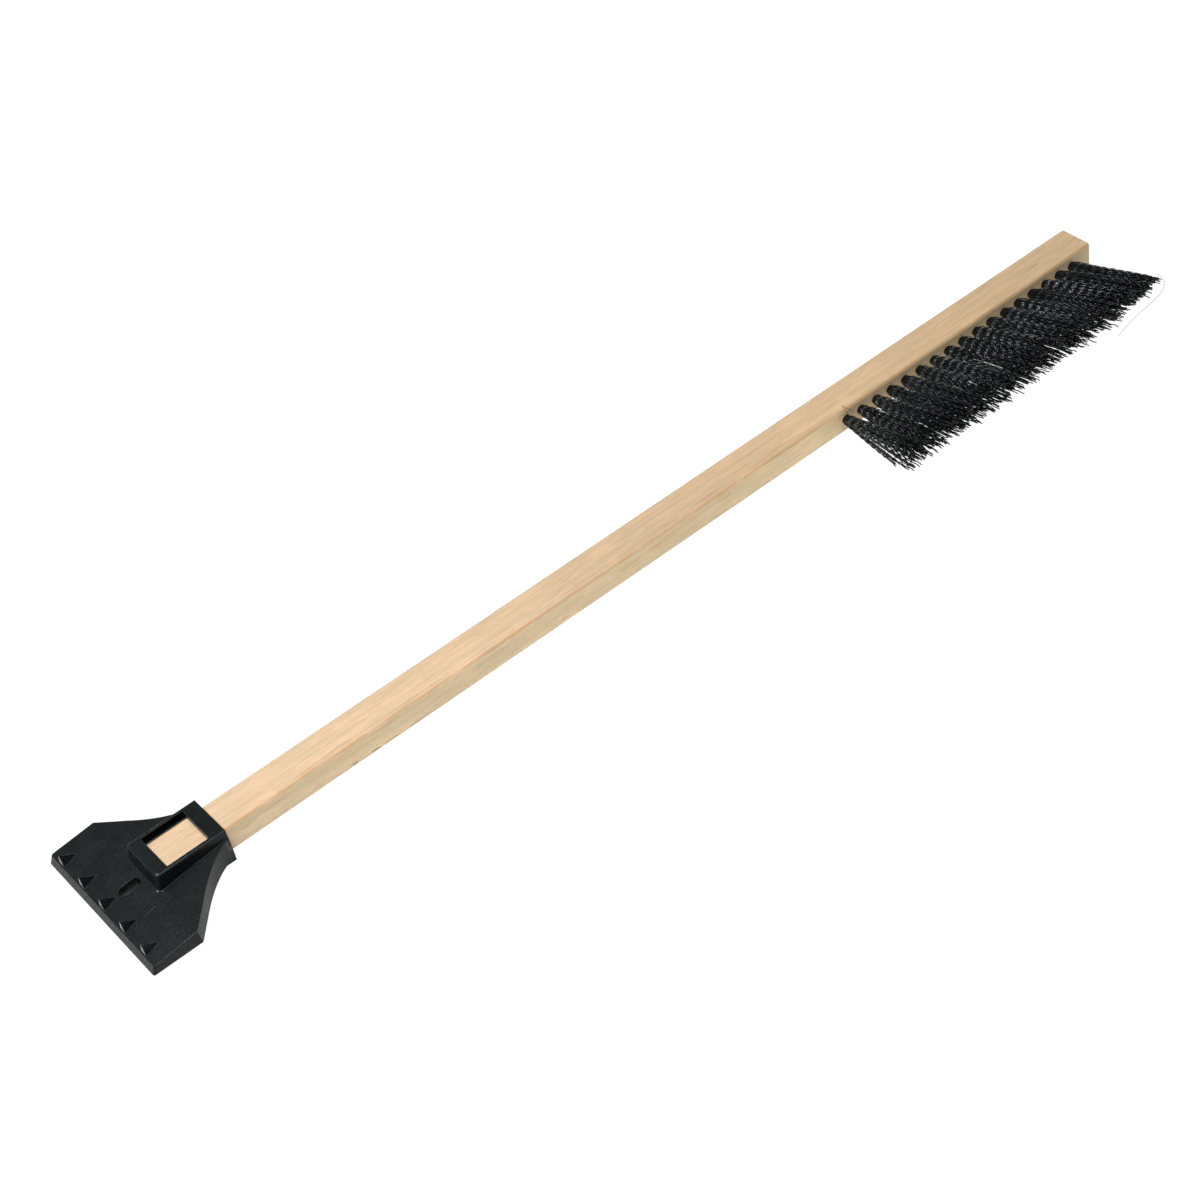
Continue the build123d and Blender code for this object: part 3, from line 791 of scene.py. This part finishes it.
make_floor()


# ------------------------------------------------------------------ light
def area(name, at, size, power, colour, aim):
    """A square lamp at `at`, turned to `aim`."""
    light = bpy.data.lights.new(name, "AREA")
    light.shape = "RECTANGLE"
    light.size = size
    light.size_y = size
    light.energy = power
    light.color = colour
    ob = bpy.data.objects.new(name, light)
    ob.location = at
    ob.rotation_mode = "QUATERNION"
    ob.rotation_quaternion = (Vector(aim) - Vector(at)).to_track_quat("-Z", "Y")
    bpy.context.scene.collection.objects.link(ob)
    return ob


# The key is three lamps, each placed for the lean of its own group of tufts; the other tufts
# are left out of its light. A smaller lamp at the same place lights that group alone, for
# the glints on the crimps. Columns: name, tufts, place, key power, glint power
KEYS = [("key_a", range(0, 6), (-0.331, 0.265, 1.057), 4.8, 6.0),
        ("key_b", range(6, 12), (-0.308, -0.017, 1.104), 5.0, 11.5),
        ("key_c", range(12, 17), (-0.258, -0.178, 1.127), 5.2, 13.0)]
for name, group, at, power, glint_power in KEYS:
    others = bpy.data.collections.new("not_in_" + name)
    only = bpy.data.collections.new("only_in_" + name)
    for i in range(TUFTS):
        tuft = bpy.data.objects["bristles_%02d" % (i + 1)]
        (only if i in group else others).objects.link(tuft)
    key = area(name, at, size=0.34, power=power, colour=(1.0, 0.995, 0.98), aim=(0.25, 0.0, 0.0))
    key.light_linking.receiver_collection = others
    for link in others.collection_objects:
        link.light_linking.link_state = "EXCLUDE"
    glint = area(name + "_glint", at, size=0.28, power=glint_power, colour=(0.98, 1.0, 0.985),
                 aim=(0.53, -0.04, 0.0))
    glint.light_linking.receiver_collection = only

# name, place, size, power, colour, aim
LAMPS = [
    ("main", (-0.30, -0.75, 1.05), 0.45, 5.2, (1.0, 0.99, 0.975), (0.15, 0.0, 0.0)),
    ("second", (0.40, -0.62, 1.30), 0.36, 5.2, (0.98, 0.99, 1.0), (0.25, 0.0, 0.0)),
    ("left", (-1.25, 0.00, 0.40), 0.5, 1.2, (0.93, 1.0, 0.98), (0.0, 0.0, 0.0)),
    ("right", (1.75, 0.00, 0.60), 0.7, 3.4, (0.98, 0.99, 1.0), (0.22, -0.01, 0.0))]
for lamp in LAMPS:
    area(*lamp)


def make_world():
    """Dim bluish light; beyond the floor the camera sees white."""
    world = bpy.data.worlds.new("studio")
    world.use_nodes = True
    nodes, links = world.node_tree.nodes, world.node_tree.links
    dim = nodes["Background"]
    dim.inputs["Color"].default_value = (0.92, 0.95, 1.0, 1)
    dim.inputs["Strength"].default_value = 0.13
    white = nodes.new("ShaderNodeBackground")
    white.inputs["Color"].default_value = (1.0, 1.0, 1.0, 1)
    path = nodes.new("ShaderNodeLightPath")
    both = nodes.new("ShaderNodeMixShader")
    links.new(path.outputs["Is Camera Ray"], both.inputs[0])
    links.new(dim.outputs[0], both.inputs[1])
    links.new(white.outputs[0], both.inputs[2])
    links.new(both.outputs[0], nodes["World Output"].inputs["Surface"])
    bpy.context.scene.world = world


make_world()

# ------------------------------------------------------------------ camera
# the view's turn as axis times angle, in axes with x right, y down and z forward
VIEW_TURN = (2.17697577, -0.86033314, 0.190574278)
VIEW_ORIGIN = (-191.157639, 114.190339, 1187.75808)     # mm, the world's origin in those axes
VIEW_BACK = 1.01        # the camera's distance from the origin is stretched by this
LENS, SENSOR = 71.741875, 36.0      # mm


def make_camera():
    turn = np.array(VIEW_TURN)
    angle = float(np.linalg.norm(turn))
    x, y, z = turn / angle
    cross = np.array([[0, -z, y], [z, 0, -x], [-y, x, 0]])
    view = np.eye(3) + math.sin(angle) * cross + (1 - math.cos(angle)) * (cross @ cross)
    cam = bpy.data.cameras.new("camera")
    cam.sensor_fit = "HORIZONTAL"
    cam.sensor_width = SENSOR
    cam.lens = LENS
    cam.clip_start, cam.clip_end = 0.05, 30.0
    ob = bpy.data.objects.new("camera", cam)
    # Blender's camera has y up and looks along its -z
    placed = np.eye(4)
    placed[:3, :3] = view.T * (1, -1, -1)
    placed[:3, 3] = -(view.T @ np.array(VIEW_ORIGIN)) * VIEW_BACK * MM
    ob.matrix_world = Matrix(placed.tolist())
    bpy.context.scene.collection.objects.link(ob)
    bpy.context.scene.camera = ob


make_camera()
view_settings = bpy.context.scene.view_settings
view_settings.view_transform = "Standard"
view_settings.look = "None"
view_settings.exposure = 0.0
view_settings.gamma = 1.0
